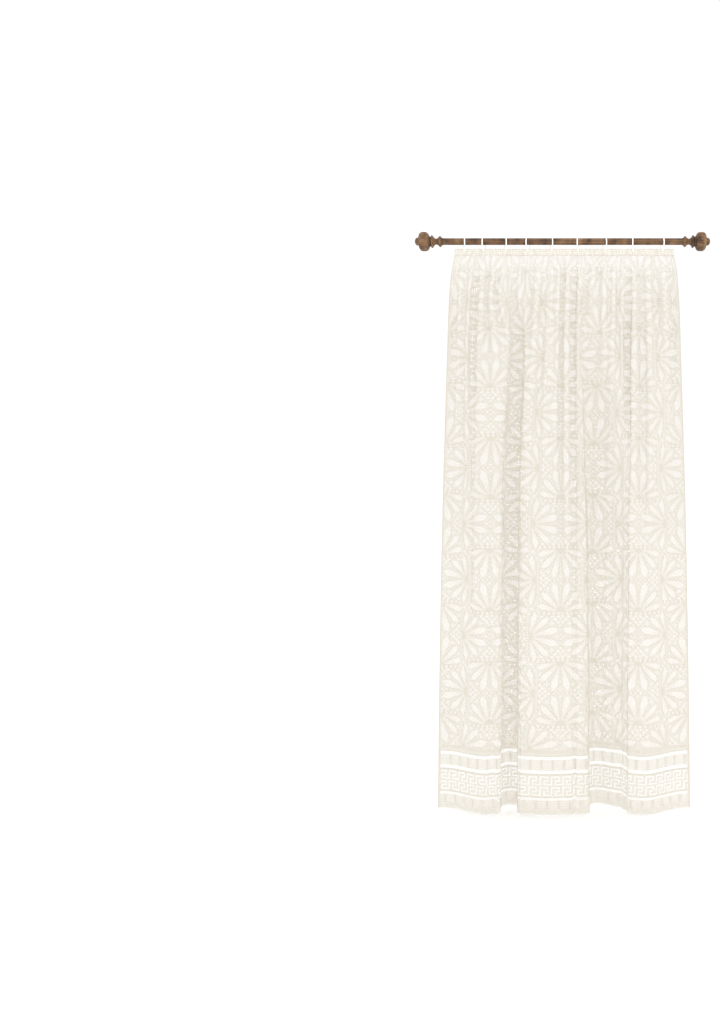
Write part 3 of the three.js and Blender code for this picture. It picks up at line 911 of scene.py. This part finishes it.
def finial_profile():
    """The turned outline from the socket's floor, round the rim and out to the end, in metres."""
    socket = POLE_RADIUS / MM + FIT / MM
    turned = [
        (FINIAL["rim"], 0), (FINIAL["rim"], 2), (FINIAL["bead"] - 2, FINIAL_AT["bead"] - 3),
        (FINIAL["bead"], FINIAL_AT["bead"]), (FINIAL["bead"] - 3, FINIAL_AT["bead"] + 5),
        (FINIAL["neck"] + 2, FINIAL_AT["neck"] - 7), (FINIAL["neck"], FINIAL_AT["neck"]),
        (FINIAL["neck"] + 3, FINIAL_AT["neck"] + 7), (FINIAL["collar"] - 2, FINIAL_AT["collar"] - 2.5),
        (FINIAL["collar"], FINIAL_AT["collar"]), (FINIAL["lip"], FINIAL_AT["lip"]),
        (FINIAL["groove"], FINIAL_AT["groove"]),
    ]  # fmt: skip
    points = [(0, SOCKET_DEPTH / MM), (socket, SOCKET_DEPTH / MM), (socket, 0.4), (socket + 0.4, 0)]
    points += rounded(turned, 5)
    start = pi - asin(FINIAL["groove"] / FINIAL["ball"])
    stop = asin(FINIAL["knob"] / FINIAL["ball"])
    for i in range(1, BALL_STEPS + 1):
        angle = mix(start, stop, i / BALL_STEPS)
        full = (sin(angle) ** BALL_POWER + abs(cos(angle)) ** BALL_POWER) ** (1 / BALL_POWER)
        radius = FINIAL["ball"] * sin(angle) / full
        points.append((radius, FINIAL_AT["ball"] + BALL_HALF_LENGTH * cos(angle) / full))
    for i in range(KNOB_STEPS):
        angle = i / KNOB_STEPS * pi / 2
        points.append((FINIAL["knob"] * cos(angle), FINIAL_AT["end"] - KNOB_ROUNDING * (1 - sin(angle))))
    points.append((0, FINIAL_AT["end"]))
    return [(r * MM, a * MM) for r, a in points]


def rounded(points, steps):
    """A smooth curve through the points, which keeps the first and the last."""
    out = []
    for i in range(len(points) - 1):
        before = np.array(points[max(0, i - 1)], float)
        a = np.array(points[i], float)
        b = np.array(points[i + 1], float)
        after = np.array(points[min(len(points) - 1, i + 2)], float)
        for k in range(steps):
            t = k / steps
            point = 0.5 * (
                2 * a
                + (b - before) * t
                + (2 * before - 5 * a + 4 * b - after) * t * t
                + (3 * a - before - 3 * b + after) * t**3
            )
            out.append(tuple(point))
    out.append(tuple(points[-1]))
    return out


def build_finial(side, name, material):
    def lobed(radius, along, angle):
        across = (along / MM - FINIAL_AT["ball"]) / BALL_HALF_LENGTH
        if abs(across) >= LOBES_REACH:
            return radius
        crease = 1 - abs(sin(LOBES / 2 * angle))
        return radius * (1 - LOBE_DEPTH * crease**2 * (1 - across**2))

    return lathe(name, finial_profile(), FINIAL_SIDES, material, side * POLE_SHOWN, side, lobed)


def build_ring(number, x, turn, material):
    centre = (RING_TOP + RING_BOTTOM) / 2
    large = (RING_TOP - RING_BOTTOM) / 2
    points = []
    for i in range(RING_STEPS):
        a = 2 * pi * i / RING_STEPS
        for k in range(RING_SIDES):
            b = 2 * pi * k / RING_SIDES
            r = large + RING_WIRE * cos(b)
            points.append((RING_WIRE * sin(b), r * sin(a), r * cos(a)))
    faces = []
    for i in range(RING_STEPS):
        for k in range(RING_SIDES):
            n = (k + 1) % RING_SIDES
            j = (i + 1) % RING_STEPS
            faces.append((i * RING_SIDES + k, i * RING_SIDES + n, j * RING_SIDES + n, j * RING_SIDES + k))
    c = cos(radians(turn))
    s = sin(radians(turn))
    placed = [(x * MM + c * px - s * py, s * px + c * py, centre + pz) for px, py, pz in points]
    piece = mesh_object(f"curtain_ring_{number}", placed, faces, material)
    merge_poles(piece.data)
    return piece


# The studio, in metres
FLOOR = -2.468
FLOOR_HALF = 40.0
EYE = (0, -3.4, -1.176)
LENS = 27.6
SENSOR = 36
SHIFT = -0.1968
SKY = 1.05
KEY_LIGHT = {"place": (1.7, -4.0, 1.3), "target": (0, 0, -0.7), "size": 1.6, "power": 22}


def build_camera():
    data = bpy.data.cameras.new("camera")
    data.lens = LENS
    data.sensor_fit = "VERTICAL"
    data.sensor_height = SENSOR
    data.shift_x = SHIFT
    camera = bpy.data.objects.new("camera", data)
    camera.location = EYE
    camera.rotation_euler = (radians(90), 0, 0)
    bpy.context.scene.collection.objects.link(camera)
    bpy.context.scene.camera = camera


def build_light(name, place, target, size, power):
    data = bpy.data.lights.new(name, "AREA")
    data.shape = "DISK"
    data.size = size
    data.energy = power
    light = bpy.data.objects.new(name, data)
    light.location = place
    direction = np.array(target, float) - np.array(place, float)
    across = float(np.hypot(direction[0], direction[1]))
    tilt = pi / 2 + atan2(direction[2], across)
    turn = atan2(direction[1], direction[0]) - pi / 2
    light.rotation_euler = (tilt, 0, turn)
    bpy.context.scene.collection.objects.link(light)


def build_studio():
    scene = bpy.context.scene
    scene.view_settings.view_transform = "Standard"
    world = bpy.data.worlds.new("studio")
    scene.world = world
    world.use_nodes = True
    tree = world.node_tree
    background = tree.nodes["Background"]
    background.inputs["Color"].default_value = WHITE
    background.inputs["Strength"].default_value = SKY
    build_light("key", **KEY_LIGHT)

    material, tree, shader = new_material("floor")
    grain = noise(tree, tree.nodes.new("ShaderNodeTexCoord").outputs["Object"], 40.0, 3.0)
    colour = blend_colours(tree, grain, *FLOOR_COLOURS)
    tree.links.new(colour, shader.inputs["Base Color"])
    shader.inputs["Roughness"].default_value = 0.9
    shader.inputs["Emission Color"].default_value = WHITE
    shader.inputs["Emission Strength"].default_value = FLOOR_GLOW
    half = FLOOR_HALF
    corners = [(-half, -half, FLOOR), (half, -half, FLOOR), (half, half, FLOOR), (-half, half, FLOOR)]
    floor = mesh_object("floor", corners, [(0, 1, 2, 3)], material, smooth=False)


def main():
    build_camera()
    build_studio()
    lace = lace_material()
    shirred = heading_material()
    wood = wood_material()
    white = ring_material()
    panel = build_panel(lace)
    heading = build_heading(shirred)
    pole = build_pole(wood)
    left = build_finial(-1, "turned_finial_left", wood)
    right = build_finial(1, "turned_finial_right", wood)
    for piece, node, slot in (
        (panel, "curtain_panel", "lace"),
        (heading, "heading_band", "lace"),
        (pole, "pole", "wood"),
        (left, "finial_left", "wood"),
        (right, "finial_right", "wood"),
    ):
        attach(piece, "root")
        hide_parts(node)
    for i, (x, turn) in enumerate(RINGS):
        ring = build_ring(i + 1, x, turn, white)
        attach(ring, "root")
        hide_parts(f"ring_{i + 1}")


main()
